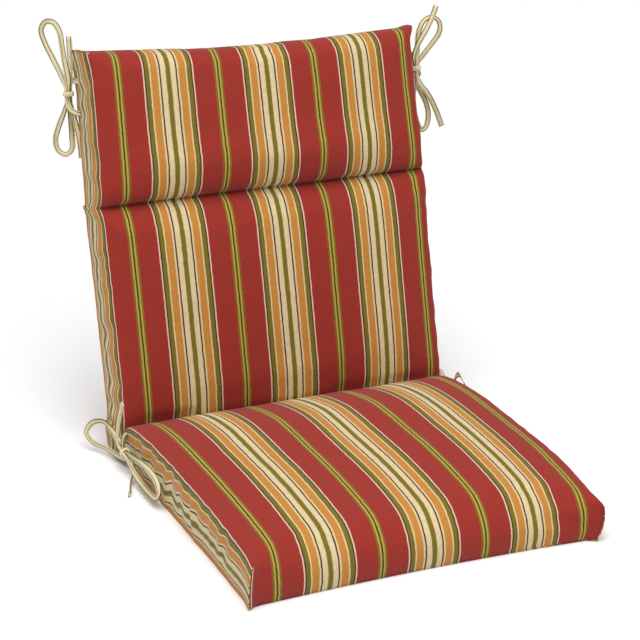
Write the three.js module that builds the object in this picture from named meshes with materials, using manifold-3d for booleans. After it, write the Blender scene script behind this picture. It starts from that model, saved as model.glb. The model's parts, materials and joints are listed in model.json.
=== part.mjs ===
// A high-back outdoor chair cushion in three sections: seat, back and headrest.
// One striped cover runs over all three, and the sections fold on two sewn lines.
// Four pairs of flat ties, each tied in a bow, hold it to a chair frame.
//
// Millimetres, +Z up, +X to the sitter's left, -Y to the front. The seat lies flat.
// The origin is at the bottom centre of the cushion without its ties.

import * as THREE from "three";
import { mergeVertices } from "three/addons/utils/BufferGeometryUtils.js";
import Module from "manifold-3d";

const wasm = await Module();
wasm.setup();

// Driving dimensions
const WIDTH = 508; // 20 in across all three sections
const SEAT_DEPTH = 497; // fold line to the front face
const SEAT_THICKNESS = 72; // underside to the face
const BACK_HEIGHT = 312; // fold line to the crease under the headrest
const HEADREST_HEIGHT = 222; // crease to the top
const BACK_THICKNESS = 70;
const LEAN = THREE.MathUtils.degToRad(13); // the back leans this far from upright
const FOLD_GAP = 2; // clear of the fold line, on each side of it
const CREASE_GAP = 5; // half the width of the flattened web at the crease
const SIDE_ROUND = 12; // rounding of the side walls into the face
const NOSE_ROUND = 28; // rounding of the ends that meet at the crease
const CLOTH = 1.2; // cover cloth with its wadding
const EASE = 0.4; // gap between neighbouring pieces
const SEAM_HEIGHT = 12; // the edge seam's height above the underside
const THREAD_RADIUS = 0.9;
const WEB_THICKNESS = 2.4; // four layers of cloth sewn flat
const TIE_SOLID_RADIUS = 2; // a tie's plain solid, along the middle of the strap
const KNOT_RADIUS = 7.8; // middle of the wrap that closes each bow
const KNOT_WRAP_RADIUS = 1.8;

// Finishes
const clothFinish = (colour) => new THREE.MeshStandardMaterial({ color: colour, roughness: 0.92, metalness: 0 });
const FINISHES = {
  cover: clothFinish("#a8423a"),
  coverRear: clothFinish("#9c8a3a"),
  fill: clothFinish("#efece4"),
  web: clothFinish("#7c2c28"),
  thread: clothFinish("#7a2a26"),
  tie: clothFinish("#dccb98"),
};

function addPiece(parent, name, geometry, finish) {
  const mesh = new THREE.Mesh(geometry, FINISHES[finish].clone());
  mesh.name = name;
  parent.add(mesh);
  return mesh;
}

// Solids for cutting: only positions are kept, and shared vertices are merged.
function toSolid(geometry) {
  const bare = geometry.clone();
  bare.deleteAttribute("normal");
  bare.deleteAttribute("uv");
  const merged = mergeVertices(bare, 1e-3);
  return new wasm.Manifold(
    new wasm.Mesh({
      numProp: 3,
      vertProperties: new Float32Array(merged.attributes.position.array),
      triVerts: new Uint32Array(merged.index.array),
    }),
  );
}

function toGeometry(solid) {
  const mesh = solid.getMesh();
  const geometry = new THREE.BufferGeometry();
  geometry.setAttribute("position", new THREE.BufferAttribute(mesh.vertProperties, 3));
  geometry.setIndex(new THREE.BufferAttribute(mesh.triVerts, 1));
  geometry.computeVertexNormals();
  return geometry;
}

// A convex outline with rounded corners, moved inwards by inset.
// Each corner is [y, z, radius], and the corners run anticlockwise.
function roundedOutline(corners, inset = 0) {
  const arcSteps = 4;
  const count = corners.length;
  const at = (i) => new THREE.Vector2(...corners[(i + count) % count]);
  const inward = (i) => {
    const run = at(i + 1).sub(at(i)).normalize();
    return new THREE.Vector2(-run.y, run.x);
  };
  const outline = [];
  for (let i = 0; i < count; i++) {
    const before = inward(i - 1);
    const after = inward(i);
    const half = before.clone().add(after);
    const radius = Math.max(corners[i][2], inset + 0.5);
    // the corner's arc has the same centre whatever the inset is
    const centre = at(i).addScaledVector(half, radius / (1 + before.dot(after)));
    const start = Math.atan2(-before.y, -before.x);
    let sweep = Math.atan2(-after.y, -after.x) - start;
    if (sweep < 0) {
      sweep += 2 * Math.PI;
    }
    for (let k = 0; k <= arcSteps; k++) {
      const angle = start + (sweep * k) / arcSteps;
      const reach = radius - inset;
      outline.push(new THREE.Vector2(centre.x + reach * Math.cos(angle), centre.y + reach * Math.sin(angle)));
    }
  }
  return outline;
}

// A pad across the whole width: the outline is its section in Y and Z, and its sides are rounded.
function padGeometry(corners, inset = 0) {
  const round = SIDE_ROUND - inset;
  const depth = WIDTH - 2 * inset - 2 * round;
  const geometry = new THREE.ExtrudeGeometry(new THREE.Shape(roundedOutline(corners, inset)), {
    depth,
    bevelEnabled: true,
    bevelThickness: round,
    bevelSize: round,
    bevelOffset: -round,
    bevelSegments: 3,
  });
  geometry.translate(0, 0, -depth / 2);
  const turn = new THREE.Matrix4().makeBasis(
    new THREE.Vector3(0, 1, 0),
    new THREE.Vector3(0, 0, 1),
    new THREE.Vector3(1, 0, 0),
  );
  return geometry.applyMatrix4(turn);
}

// A block that covers everything beyond a plane, for cutting: the plane faces along axis at offset.
function beyond(axis, offset, side) {
  const size = 2000;
  const block = new THREE.BoxGeometry(size, size, size);
  block.translate(...["x", "y", "z"].map((a) => (a === axis ? offset + (side * size) / 2 : 0)));
  return toSolid(block);
}

// One section: a face panel that wraps over the sides, the panel behind it, and the fill.
// The edge seam lies in the plane axis = seam, and the face panel is on the side faceSide of it.
function addSection(parent, name, corners, { axis, seam, faceSide, rearName }) {
  const shell = toSolid(padGeometry(corners)).subtract(toSolid(padGeometry(corners, CLOTH)));
  const face = shell.intersect(beyond(axis, seam + (faceSide * EASE) / 2, faceSide));
  const rear = shell.intersect(beyond(axis, seam - (faceSide * EASE) / 2, -faceSide));
  addPiece(parent, `${name}_face_panel`, toGeometry(face), "cover");
  addPiece(parent, `${name}_${rearName}_panel`, toGeometry(rear), "coverRear");
  addPiece(parent, `${name}_fibre_fill`, padGeometry(corners, CLOTH + EASE), "fill");
}

const cushion = new THREE.Group();

// Everything is drawn from the fold line: y = 0, at the height of the seat's face.
const padded = new THREE.Group();
cushion.add(padded);

// Seat, lying flat in front of the fold
function buildSeat() {
  const seat = new THREE.Group();
  const section = [
    [-SEAT_DEPTH, 0, 16],
    [-FOLD_GAP, 0, 14],
    [-FOLD_GAP, SEAT_THICKNESS, 13],
    [-SEAT_DEPTH, SEAT_THICKNESS, 24],
  ];
  addSection(seat, "seat", section, { axis: "z", seam: SEAM_HEIGHT, faceSide: 1, rearName: "underside" });
  padded.add(seat);
}

// Back and headrest, drawn upright from the fold line and then leant back
function buildBack() {
  const back = new THREE.Group();
  back.position.z = SEAT_THICKNESS;
  back.rotation.x = -LEAN;
  padded.add(back);
  const seamDepth = BACK_THICKNESS - SEAM_HEIGHT;
  const options = { axis: "y", seam: seamDepth, faceSide: -1, rearName: "rear" };

  const backTop = BACK_HEIGHT - CREASE_GAP;
  const backSection = [
    [0, FOLD_GAP, 13],
    [BACK_THICKNESS, FOLD_GAP, 14],
    [BACK_THICKNESS, backTop, NOSE_ROUND],
    [0, backTop, NOSE_ROUND],
  ];
  addSection(back, "back", backSection, options);

  const headrestBottom = BACK_HEIGHT + CREASE_GAP;
  const headrestTop = BACK_HEIGHT + HEADREST_HEIGHT;
  const headrestSection = [
    [0, headrestBottom, NOSE_ROUND],
    [BACK_THICKNESS, headrestBottom, NOSE_ROUND],
    [BACK_THICKNESS, headrestTop, 16],
    [0, headrestTop, 26],
  ];
  addSection(back, "headrest", headrestSection, options);

  // the cloth of both faces, sewn flat together between the two rounded ends
  const web = new THREE.BoxGeometry(WIDTH - 36, WEB_THICKNESS, 2 * (CREASE_GAP - EASE));
  web.translate(0, BACK_THICKNESS / 2, BACK_HEIGHT);
  addPiece(back, "crease_web", web, "web");
  const creaseThread = threadGeometry(WIDTH - 44);
  creaseThread.translate(0, BACK_THICKNESS / 2 - WEB_THICKNESS / 2 - THREAD_RADIUS - EASE, BACK_HEIGHT);
  addPiece(back, "crease_stitching", creaseThread, "thread");
}

// A line of stitching along X
function threadGeometry(length) {
  const thread = new THREE.CylinderGeometry(THREAD_RADIUS, THREAD_RADIUS, length, 10);
  return thread.rotateZ(Math.PI / 2);
}

// The back's lower end: it bulges down behind the fold, to just above the floor.
function buildLowerEnd() {
  const gap = 1.5;
  const rise = SEAT_THICKNESS - BACK_THICKNESS * Math.sin(LEAN);
  const run = BACK_THICKNESS * Math.cos(LEAN);
  const slope = Math.tan(LEAN);
  const section = [
    [gap, 2, 13],
    [run - 6, 2, 24],
    [run + 9, rise / 2, 22],
    [run + 1, rise + slope - gap, 13],
    [gap, SEAT_THICKNESS - gap, 13],
  ];
  const outer = toSolid(padGeometry(section));
  // the inside reaches out past the upper end, which is open to the rest of the back
  const inside = padGeometry(section, CLOTH);
  const openEnd = inside.clone().translate(0, 2.2 * Math.sin(LEAN), 2.2 * Math.cos(LEAN));
  const cover = outer.subtract(toSolid(inside)).subtract(toSolid(openEnd));
  addPiece(padded, "back_lower_cover", toGeometry(cover), "cover");
  addPiece(padded, "back_lower_fill", padGeometry(section, CLOTH + EASE), "fill");
  const foldThread = threadGeometry(WIDTH - 44);
  foldThread.translate(0, 0, SEAT_THICKNESS);
  addPiece(padded, "fold_stitching", foldThread, "thread");
}

// Ties. A strap leaves the seam, goes through the knot, makes its loop, comes back through the
// knot and ends in its tail. Points are relative to the fold line's middle, with the floor at 0.
function strapGeometry(points) {
  const route = new THREE.CatmullRomCurve3(points.map((p) => new THREE.Vector3(...p)), false, "centripetal");
  const sides = 8;
  const section = new THREE.Shape(
    Array.from({ length: sides }, (_, i) => {
      const angle = ((i + 0.5) * 2 * Math.PI) / sides;
      return new THREE.Vector2(TIE_SOLID_RADIUS * Math.cos(angle), TIE_SOLID_RADIUS * Math.sin(angle));
    }),
  );
  const steps = Math.round(route.getLength() / 7.5);
  return new THREE.ExtrudeGeometry(section, { steps, extrudePath: route, bevelEnabled: false });
}

function knotGeometry(centre, along) {
  const wrap = new THREE.TorusGeometry(KNOT_RADIUS, KNOT_WRAP_RADIUS, 8, 16);
  const turn = new THREE.Quaternion().setFromUnitVectors(new THREE.Vector3(0, 0, 1), new THREE.Vector3(...along));
  return wrap.applyQuaternion(turn).translate(...centre);
}

const UPRIGHT = [0, 0, 1];
const LEVEL = [0, 1, 0];

const BOWS = {
  tie_top_right_side: {
    knot: [-268, 177, 521],
    along: UPRIGHT,
    straps: [
      [
        [-255.6, 158, 494], [-260, 158, 495], [-268, 164, 499], [-271.4, 174, 506], [-271.4, 177, 514],
        [-271.4, 177, 528], [-275, 184, 546], [-284, 196, 572], [-293, 205, 596], [-296, 208, 613],
        [-290, 202, 625], [-281, 193, 624], [-275, 187, 611], [-273, 184, 590], [-271, 180, 566],
        [-268.5, 175, 544], [-268, 173.6, 528], [-268, 173.6, 514], [-265, 170, 498], [-261, 167, 474],
        [-258.5, 162, 450], [-258, 157, 428],
      ],
      [
        [-255.6, 166, 540], [-259.5, 171, 541], [-262, 182, 541], [-268, 183, 536], [-268, 180.4, 528],
        [-268, 180.4, 514], [-273, 186, 492], [-280, 193, 470], [-285, 197, 447], [-282, 194, 432],
        [-273, 186, 427], [-265, 180, 436], [-264, 181, 455], [-264.5, 182, 478], [-265, 181, 497],
        [-264.6, 177, 514], [-264.6, 177, 528], [-264, 175.5, 556], [-264, 176, 583], [-264, 177, 606],
      ],
    ],
  },
  tie_top_left_side: {
    knot: [276, 138, 515],
    along: UPRIGHT,
    straps: [
      [
        [255.6, 160, 490], [262, 160, 491], [273, 157, 495], [283, 150, 500], [284, 142, 505], [280.5, 138, 512],
        [279.4, 138, 522], [289, 139, 535], [304, 140, 551], [316, 140, 568], [315, 140, 584],
        [302, 139, 593], [288, 139, 588], [280, 138, 574], [277, 137, 553], [276, 134.6, 537],
        [276, 134.6, 522], [276, 134.6, 508], [281, 133, 491], [294, 133, 474], [308, 133, 448],
        [319, 133, 420],
      ],
      [
        [255.6, 168, 530], [260, 164, 533], [268, 155, 535], [276, 145, 533], [276, 141.4, 522],
        [276, 141.4, 508], [278, 142, 492], [287, 144, 476], [297, 144, 456], [301, 144, 436],
        [296, 143, 418], [288, 142, 415], [281, 141, 428], [276, 141, 447], [273, 140, 470],
        [272.6, 138, 492], [272.6, 138, 508], [272.6, 138, 522], [269, 131, 538], [274, 127, 556],
        [286, 127, 575], [296, 128, 592], [305, 130, 612],
      ],
    ],
  },
  tie_low_right_side: {
    knot: [-266, -28, 32],
    along: LEVEL,
    straps: [
      [
        [-255.6, -6, 52], [-259, -7, 50], [-264, -13, 43], [-266, -22, 35.4], [-266, -34, 35.4],
        [-265, -61, 38], [-264, -100, 43], [-264, -135, 45], [-264, -162, 41], [-266, -176, 31],
        [-267, -168, 19], [-267, -146, 14], [-267, -97, 14], [-268, -60, 22], [-269.4, -34, 31],
        [-269.4, -22, 32], [-272, -11, 41], [-270, -9, 62], [-267, -12, 84], [-264, -18, 106],
      ],
      [
        [-255.6, -16, 14], [-259, -10, 12], [-266, 14, 12], [-274, 42, 13], [-287, 66, 17],
        [-292, 75, 28], [-284, 70, 44], [-273, 50, 52], [-268, 24, 47], [-265, 0, 39],
        [-262.6, -21, 32], [-262.6, -35, 32], [-261, -45, 23], [-264, -57, 11], [-274, -75, 5],
        [-281, -92, 3.5], [-289, -113, 3.5],
      ],
    ],
  },
  tie_low_left_side: {
    knot: [266, -28, 32],
    along: LEVEL,
    straps: [
      [
        [255.6, -6, 52], [259, -7, 50], [264, -13, 43], [266, -22, 35.4], [266, -34, 35.4],
        [266, -44, 46], [267, -62, 54], [268, -90, 54], [268, -122, 46], [268, -142, 34],
        [268, -140, 21], [268, -118, 15], [268, -84, 16], [269, -56, 23], [269.4, -34, 31],
        [269.4, -22, 32], [273, -13, 42], [275, -18, 58], [274, -34, 72], [273, -56, 64],
      ],
      [
        [255.6, -16, 14], [259, -10, 12], [266, 14, 12], [272, 42, 14], [280, 62, 24],
        [280, 62, 40], [274, 46, 54], [269, 22, 60], [268, 9, 52], [266, -3, 41], [263, -14, 34],
        [262.6, -24, 32], [262.6, -35, 32], [262, -45, 23], [264, -57, 11], [272, -75, 5],
        [278, -92, 3.5], [283, -112, 3.5],
      ],
    ],
  },
};

function buildTies() {
  for (const [name, bow] of Object.entries(BOWS)) {
    addPiece(cushion, `${name}_knot`, knotGeometry(bow.knot, bow.along), "tie");
    bow.straps.forEach((points, i) => {
      addPiece(cushion, `${name}_strap_${i + 1}`, strapGeometry(points), "tie");
    });
  }
}

buildSeat();
buildBack();
buildLowerEnd();

// The cushion without its ties stands with the bottom centre of its box at the origin.
padded.updateMatrixWorld(true);
const extent = new THREE.Box3().setFromObject(padded, true);
cushion.position.set(0, -(extent.min.y + extent.max.y) / 2, -extent.min.z);
buildTies();

export default cushion;
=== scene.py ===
"""A striped three-section chair cushion: padded seat, back and headrest, held by tied straps.

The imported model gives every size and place. The padded sections are blocks of cloth that are
inflated by simulation, the ties are flat straps swept along their real routes, and the rest is
seams, knots, finishes, the camera and a plain studio.
"""

import json
import math

import bmesh
import bpy
import numpy as np
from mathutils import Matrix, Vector, noise


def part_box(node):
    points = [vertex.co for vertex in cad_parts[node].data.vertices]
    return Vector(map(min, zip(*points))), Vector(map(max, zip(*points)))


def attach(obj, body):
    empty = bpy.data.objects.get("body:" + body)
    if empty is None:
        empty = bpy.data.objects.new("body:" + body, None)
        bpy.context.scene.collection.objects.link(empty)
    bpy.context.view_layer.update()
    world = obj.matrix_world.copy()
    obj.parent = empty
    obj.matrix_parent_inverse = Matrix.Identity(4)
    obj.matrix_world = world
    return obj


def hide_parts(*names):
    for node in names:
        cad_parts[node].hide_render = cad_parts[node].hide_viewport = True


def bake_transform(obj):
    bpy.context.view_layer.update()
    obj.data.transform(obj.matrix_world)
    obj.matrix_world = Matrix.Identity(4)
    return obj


bl_info = {
    "name": "Striped chair cushion",
    "version": (1, 0, 0),
    "blender": (4, 5, 0),
    "location": "View3D > Sidebar > Cushion",
    "description": "Builds a three-section striped cushion on a packed frame",
    "category": "Object",
}

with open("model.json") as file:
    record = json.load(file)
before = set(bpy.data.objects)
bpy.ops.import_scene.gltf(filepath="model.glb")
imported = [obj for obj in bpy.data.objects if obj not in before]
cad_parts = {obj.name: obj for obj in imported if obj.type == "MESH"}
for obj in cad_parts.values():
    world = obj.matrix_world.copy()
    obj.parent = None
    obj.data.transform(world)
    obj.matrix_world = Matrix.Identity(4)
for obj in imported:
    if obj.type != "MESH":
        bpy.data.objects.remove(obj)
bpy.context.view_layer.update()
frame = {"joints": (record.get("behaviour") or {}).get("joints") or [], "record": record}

MM = 0.001
# points of a unit block within this of an edge lie on it
ON_EDGE = 1e-4
CLOTH_MAP = "Weft and warp"
STRAP_WIDTH = 0.011


def joint_place(name):
    """The middle of a joint's axis, in metres."""
    joint = next(j for j in frame["joints"] if j["name"] == name)
    return Vector(joint["pos_m"])


def mount_axis(name):
    """The direction that a mount faces."""
    mount = next(m for m in frame["record"]["mounts"] if m["name"] == name)
    return Vector(mount["axis"])


SEAT_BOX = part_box("seat_face_panel")
WIDTH = SEAT_BOX[1][0] - SEAT_BOX[0][0]
FOLD = joint_place("seat_back_fold")
CREASE = joint_place("headrest_crease")
LEAN = math.atan2(-mount_axis("back_rear_face").z, mount_axis("back_rear_face").y)
SEAT_FRONT = SEAT_BOX[0][1]
UP_BACK = Vector((0, math.sin(LEAN), math.cos(LEAN)))
OUT_BACK = Vector((0, math.cos(LEAN), -math.sin(LEAN)))
CREASE_HEIGHT = (CREASE - FOLD).dot(UP_BACK)
BACK_THICKNESS = 2 * (CREASE - FOLD).dot(OUT_BACK)
HEADREST_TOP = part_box("headrest_face_panel")[1][2]
TOP_HEIGHT = (HEADREST_TOP - FOLD.z) / math.cos(LEAN)
# what rests on the floor is kept this far above it
ABOVE_FLOOR = 0.0004


# ---- settings


def length(name, what, default, low, high):
    return bpy.props.FloatProperty(
        name=name, description=what, default=default, min=low, max=high, unit="LENGTH"
    )


def angle(name, what, degrees):
    return bpy.props.FloatProperty(
        name=name, description=what, default=math.radians(degrees), subtype="ANGLE"
    )


def amount(name, what, default):
    return bpy.props.FloatProperty(name=name, description=what, default=default, min=0.0)


def colour(name, what, default):
    return bpy.props.StringProperty(name=name, description=what, default=default)


class CushionShape(bpy.types.PropertyGroup):
    """Sizes of the padding and of its puckers"""

    cell: length("Cloth cell", "Side of one cell of cloth before it is smoothed", 0.0085, 0.004, 0.02)
    edge_height: length("Edge height", "Height of the side walls at the corners", 0.062, 0.04, 0.09)
    crown: length("Crown", "How much a face rises from its edges to its middle", 0.009, 0.0, 0.03)
    edge_rise: length("Edge rise", "Extra height of the seat's walls between corners", 0.014, 0.0, 0.03)
    side_pull: length("Side pull", "How far the sides are drawn in between corners", 0.0015, 0.0, 0.02)
    front_pull: length("Front pull", "How far the front is drawn in between corners", 0.009, 0.0, 0.02)
    pucker_length: length("Pucker length", "From one pucker of a wall to the next", 0.034, 0.02, 0.08)
    pucker_depth: length("Pucker depth", "How far the side wall waves in and out", 0.0058, 0.0, 0.012)
    swell: length("Swell", "The furthest that the simulation may push the cloth out", 0.006, 0.0, 0.02)


class CushionColours(bpy.types.PropertyGroup):
    """Yarn colours as sRGB hex values"""

    red: colour("Red", "Ground of the wide bands", "#902C22")
    olive: colour("Olive", "Olive bands", "#71621C")
    dark_green: colour("Dark green", "Lines beside the pale edge lines", "#3A320F")
    cream: colour("Cream", "Cream bands", "#CEBC92")
    tie_cream: colour("Tie cream", "Cream of the ties, which show the paler side", "#DACDA6")
    orange: colour("Orange", "Orange bands", "#B87C35")
    purple: colour("Purple brown", "Thin lines in the cream bands", "#4B3029")
    lime: colour("Lime", "Pair of lines in the middle of the red", "#AC9440")
    pale: colour("Pale line", "Line at the edge of the red", "#D6B7A6")
    thread: colour("Thread", "Sewing thread", "#7A2C26")


class CushionStage(bpy.types.PropertyGroup):
    """Where the camera stands, and how bright the studio is"""

    azimuth: angle("Azimuth", "Turn of the camera round the cushion from straight in front", -23.31)
    elevation: angle("Elevation", "Height of the camera above the level view", 20.32)
    distance: length("Distance", "From the camera to the point it looks at", 3.213, 0.5, 20.0)
    lens: amount("Lens", "Focal length in millimetres on a 36 mm sensor", 125.8)
    target: bpy.props.FloatVectorProperty(
        name="Target", description="The point that the camera looks at",
        default=(0.004, 0.036, 0.230), subtype="XYZ",
    )
    overhead: amount("Overhead light", "Strength of the wide soft light above", 2.75)
    softbox: amount("Soft box", "Power of the soft box above and in front, in watts", 5.0)
    daylight: amount("Daylight", "Strength of the even white surroundings", 0.27)


# ---- materials


def linear(hex_colour, alpha=1.0):
    """An sRGB hex value as linear light."""
    parts = [int(hex_colour[i : i + 2], 16) / 255 for i in (1, 3, 5)]
    return [c / 12.92 if c <= 0.04045 else ((c + 0.055) / 1.055) ** 2.4 for c in parts] + [alpha]


def add(tree, kind, feeds=None, stops=(), **settings):
    """One node. settings are its properties or, by their names, its sockets. feeds give a socket a
    source or a value. stops are the places and hex colours of a colour ramp."""
    node = tree.nodes.new("ShaderNode" + kind)
    for key, value in settings.items():
        if hasattr(node, key):
            setattr(node, key, value)
        else:
            node.inputs[key].default_value = value
    for socket, source in (feeds or {}).items():
        if isinstance(source, bpy.types.NodeSocket):
            tree.links.new(source, node.inputs[socket])
        else:
            node.inputs[socket].default_value = source
    if stops:
        bar = node.color_ramp.elements
        bar.remove(bar[-1])
        bar[0].position = stops[0][0]
        bar[0].color = linear(stops[0][1])
        for place, hex_colour in stops[1:]:
            bar.new(place).color = linear(hex_colour)
    return node


def new_material(name, roughness, sheen):
    material = bpy.data.materials.new(name)
    material.use_nodes = True
    tree = material.node_tree
    shader = tree.nodes["Principled BSDF"]
    shader.inputs["Roughness"].default_value = roughness
    shader.inputs["IOR"].default_value = 1.5
    shader.inputs["Specular IOR Level"].default_value = 0.18
    shader.inputs["Sheen Weight"].default_value = sheen
    shader.inputs["Sheen Roughness"].default_value = 0.5
    return material, tree, shader


# The stripes repeat across the cloth. Half a repeat runs from the middle of an olive band to the
# middle of a red one, and the other half is its mirror image. Band edges are in millimetres.
REPEAT = 151.5
BANDS = [
    ("olive", 0.0, 2.9),
    ("cream", 4.3, 11.0),
    ("purple", 11.5, 13.3),
    ("cream", 13.8, 15.7),
    ("orange", 16.4, 26.0),
    ("cream", 26.6, 28.1),
    ("olive", 28.5, 34.3),
    ("dark_green", 34.7, 36.2),
    ("pale", 36.6, 38.1),
    ("red", 38.6, 68.6),
    ("olive", 70.0, 71.6),
    ("lime", 72.2, 74.3),
    ("dark_green", 74.8, REPEAT / 2),
]
# from the edge of the face panel to the middle of its first olive band
FIRST_BAND = 38.0
YARN_WANDER = 1.6


def striped_weave(yarns):
    """Woven polyester, yarn-dyed in stripes: matt, with a fine ribbed weave and slubby yarns."""
    material, tree, shader = new_material("striped woven polyester", 0.9, 0.12)
    uv = add(tree, "UVMap", uv_map=CLOTH_MAP).outputs["UV"]
    # a yarn wanders by a fraction of a millimetre, so no band has a ruled edge
    wander = add(tree, "TexNoise", {"Vector": uv}, Scale=90.0, Detail=2.0)
    split = add(tree, "SeparateXYZ", {0: uv})
    shift = add(
        tree, "Math", operation="MULTIPLY_ADD",
        feeds={0: wander.outputs["Fac"], 1: YARN_WANDER * MM, 2: -YARN_WANDER / 2 * MM},
    )
    across = add(tree, "Math", {0: split.outputs["X"], 1: shift.outputs[0]}, operation="ADD")
    placed = add(tree, "Math", {0: across.outputs[0], 1: FIRST_BAND * MM}, operation="ADD")
    half = add(tree, "Math", {0: placed.outputs[0], 1: REPEAT / 2 * MM}, operation="PINGPONG")
    fac = add(tree, "Math", {0: half.outputs[0], 1: REPEAT / 2 * MM}, operation="DIVIDE")
    stops = [(at * 2 / REPEAT, getattr(yarns, band)) for band, *edges in BANDS for at in edges]
    bands = add(tree, "ValToRGB", {0: fac.outputs[0]}, stops)
    # slubs: each warp yarn is a little lighter or darker along stretches of a few centimetres
    long_yarn = add(tree, "Mapping", {"Vector": uv, "Scale": (520.0, 150.0, 1.0)})
    slub = add(tree, "TexNoise", {"Vector": long_yarn.outputs[0]}, Scale=1.0, Detail=2.0)
    mottle = add(tree, "TexNoise", {"Vector": uv}, Scale=430.0, Detail=3.0, Roughness=0.8)
    both = add(
        tree, "Math", {0: slub.outputs["Fac"], 1: mottle.outputs["Fac"]}, operation="ADD"
    )
    tone = add(
        tree, "MapRange",
        {"Value": both.outputs[0], "From Min": 0.7, "From Max": 1.3, "To Min": 0.85, "To Max": 1.15},
    )
    woven = add(
        tree, "VectorMath", {0: bands.outputs[0], 1: tone.outputs[0]}, operation="MULTIPLY"
    )
    tree.links.new(woven.outputs[0], shader.inputs["Base Color"])
    # the ribs of the weave are 0.6 mm apart in the real cloth, and drawn 1.6 mm apart to show
    bump = weave_bump(tree, uv, 1.6, 0.00016)
    creases = add(tree, "TexNoise", {"Vector": uv}, Scale=34.0, Detail=3.0, Roughness=0.55)
    soft = add(
        tree, "Bump", {"Height": creases.outputs["Fac"], "Normal": bump},
        Strength=0.35, Distance=0.0022,
    )
    tree.links.new(soft.outputs[0], shader.inputs["Normal"])
    return material


def weave_bump(tree, uv, pitch_mm, height):
    """A plain weave of that pitch, as a bump."""
    pitch = 1000 / pitch_mm * math.pi
    scaled = add(tree, "VectorMath", {0: uv, "Scale": pitch}, operation="SCALE")
    split = add(tree, "SeparateXYZ", {0: scaled.outputs[0]})
    warp = add(tree, "Math", {0: split.outputs["X"]}, operation="SINE")
    weft = add(tree, "Math", {0: split.outputs["Y"]}, operation="SINE")
    over = add(tree, "Math", {0: warp.outputs[0], 1: weft.outputs[0]}, operation="MULTIPLY")
    bump = add(tree, "Bump", {"Height": over.outputs[0]}, Strength=0.5, Distance=height)
    return bump.outputs[0]


def strap_cloth(yarns):
    """The same cloth cut into a narrow folded strap: cream, with an olive and a brown edge."""
    material, tree, shader = new_material("folded strap of woven polyester", 0.86, 0.2)
    uv = add(tree, "UVMap", uv_map=CLOTH_MAP).outputs["UV"]
    split = add(tree, "SeparateXYZ", {0: uv})
    fac = add(tree, "Math", {0: split.outputs["X"], 1: STRAP_WIDTH}, operation="DIVIDE")
    stops = [
        (0.0, yarns.olive), (0.12, yarns.olive), (0.20, yarns.tie_cream), (0.68, yarns.tie_cream),
        (0.73, yarns.purple), (0.79, yarns.purple), (0.85, yarns.tie_cream), (1.0, yarns.tie_cream),
    ]
    bands = add(tree, "ValToRGB", {0: fac.outputs[0]}, stops)
    mottle = add(tree, "TexNoise", {"Vector": uv}, Scale=220.0, Detail=3.0, Roughness=0.7)
    yarn = mottle.outputs["Fac"]
    tone = add(
        tree, "MapRange",
        {"Value": yarn, "From Min": 0.3, "From Max": 0.7, "To Min": 0.84, "To Max": 1.06},
    )
    woven = add(
        tree, "VectorMath", {0: bands.outputs[0], 1: tone.outputs[0]}, operation="MULTIPLY"
    )
    tree.links.new(woven.outputs[0], shader.inputs["Base Color"])
    tree.links.new(weave_bump(tree, uv, 1.3, 0.00014), shader.inputs["Normal"])
    return material


def sewing_thread(yarns):
    """Twisted polyester thread: a slight gloss, with the twist as fine ridges."""
    material, tree, shader = new_material("twisted polyester thread", 0.6, 0.1)
    place = add(tree, "TexCoord").outputs["Object"]
    twist = add(tree, "TexWave", {"Vector": place}, Scale=160.0, Distortion=1.0)
    stops = [(0.0, yarns.thread), (1.0, "#9A4A3C")]
    tone = add(tree, "ValToRGB", {0: twist.outputs["Fac"]}, stops)
    tree.links.new(tone.outputs[0], shader.inputs["Base Color"])
    bump = add(tree, "Bump", {"Height": twist.outputs["Fac"]}, Distance=0.0003)
    tree.links.new(bump.outputs[0], shader.inputs["Normal"])
    return material


def seam_cloth_painted_shade(yarns):
    """Cloth rolled into a seam, in the cloth's own dark green and olive yarns, where the stripes are
    lost. It is kept this dark as painted shade, so that the web in the crease reads as a dark edge, the
    crease's shadow.
    """
    material, tree, shader = new_material("cloth rolled into a seam with painted crease shade", 0.9, 0.1)
    place = add(tree, "TexCoord").outputs["Object"]
    patches = add(tree, "TexNoise", {"Vector": place}, Scale=60.0, Detail=2.0)
    # painted shade: only the darkest yarns, standing in for the shadow deep in the crease
    stops = [(0.35, yarns.dark_green), (0.65, yarns.olive)]
    tone = add(tree, "ValToRGB", {0: patches.outputs["Fac"]}, stops)
    tree.links.new(tone.outputs[0], shader.inputs["Base Color"])
    bump = add(tree, "Bump", {"Height": patches.outputs["Fac"]}, Distance=0.0006)
    tree.links.new(bump.outputs[0], shader.inputs["Normal"])
    return material


def studio_floor():
    """Matt white studio paper, with hardly any grain."""
    material, tree, shader = new_material("matt studio paper", 0.95, 0.0)
    place = add(tree, "TexCoord").outputs["Object"]
    grain = add(tree, "TexNoise", {"Vector": place}, Scale=40.0)
    stops = [(0.0, "#F3F3F3"), (1.0, "#F6F6F6")]
    tone = add(tree, "ValToRGB", {0: grain.outputs["Fac"]}, stops)
    tree.links.new(tone.outputs[0], shader.inputs["Base Color"])
    return material


MAKERS = {
    "striped": striped_weave,
    "strap": strap_cloth,
    "thread": sewing_thread,
    "seam": seam_cloth_painted_shade,
}
made = {}


def dress(obj, name):
    """Give an object the one material of that short name, which is made once."""
    if name not in made:
        made[name] = MAKERS[name](bpy.context.scene.cushion_colours)
    obj.data.materials.clear()
    obj.data.materials.append(made[name])


# ---- padded sections


def smoothstep(x, low, high):
    t = np.clip((x - low) / (high - low), 0, 1)
    return t * t * (3 - 2 * t)


def wander(points, size, seed):
    """Smooth seeded noise at each point, from -1 to 1."""
    offset = Vector((seed * 13.7, seed * 7.1, seed * 3.3))
    return np.array([noise.noise(Vector(p) / size + offset) for p in points])


def set_points(obj, points):
    obj.data.vertices.foreach_set("co", np.asarray(points, float).ravel())
    obj.data.update()


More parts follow.
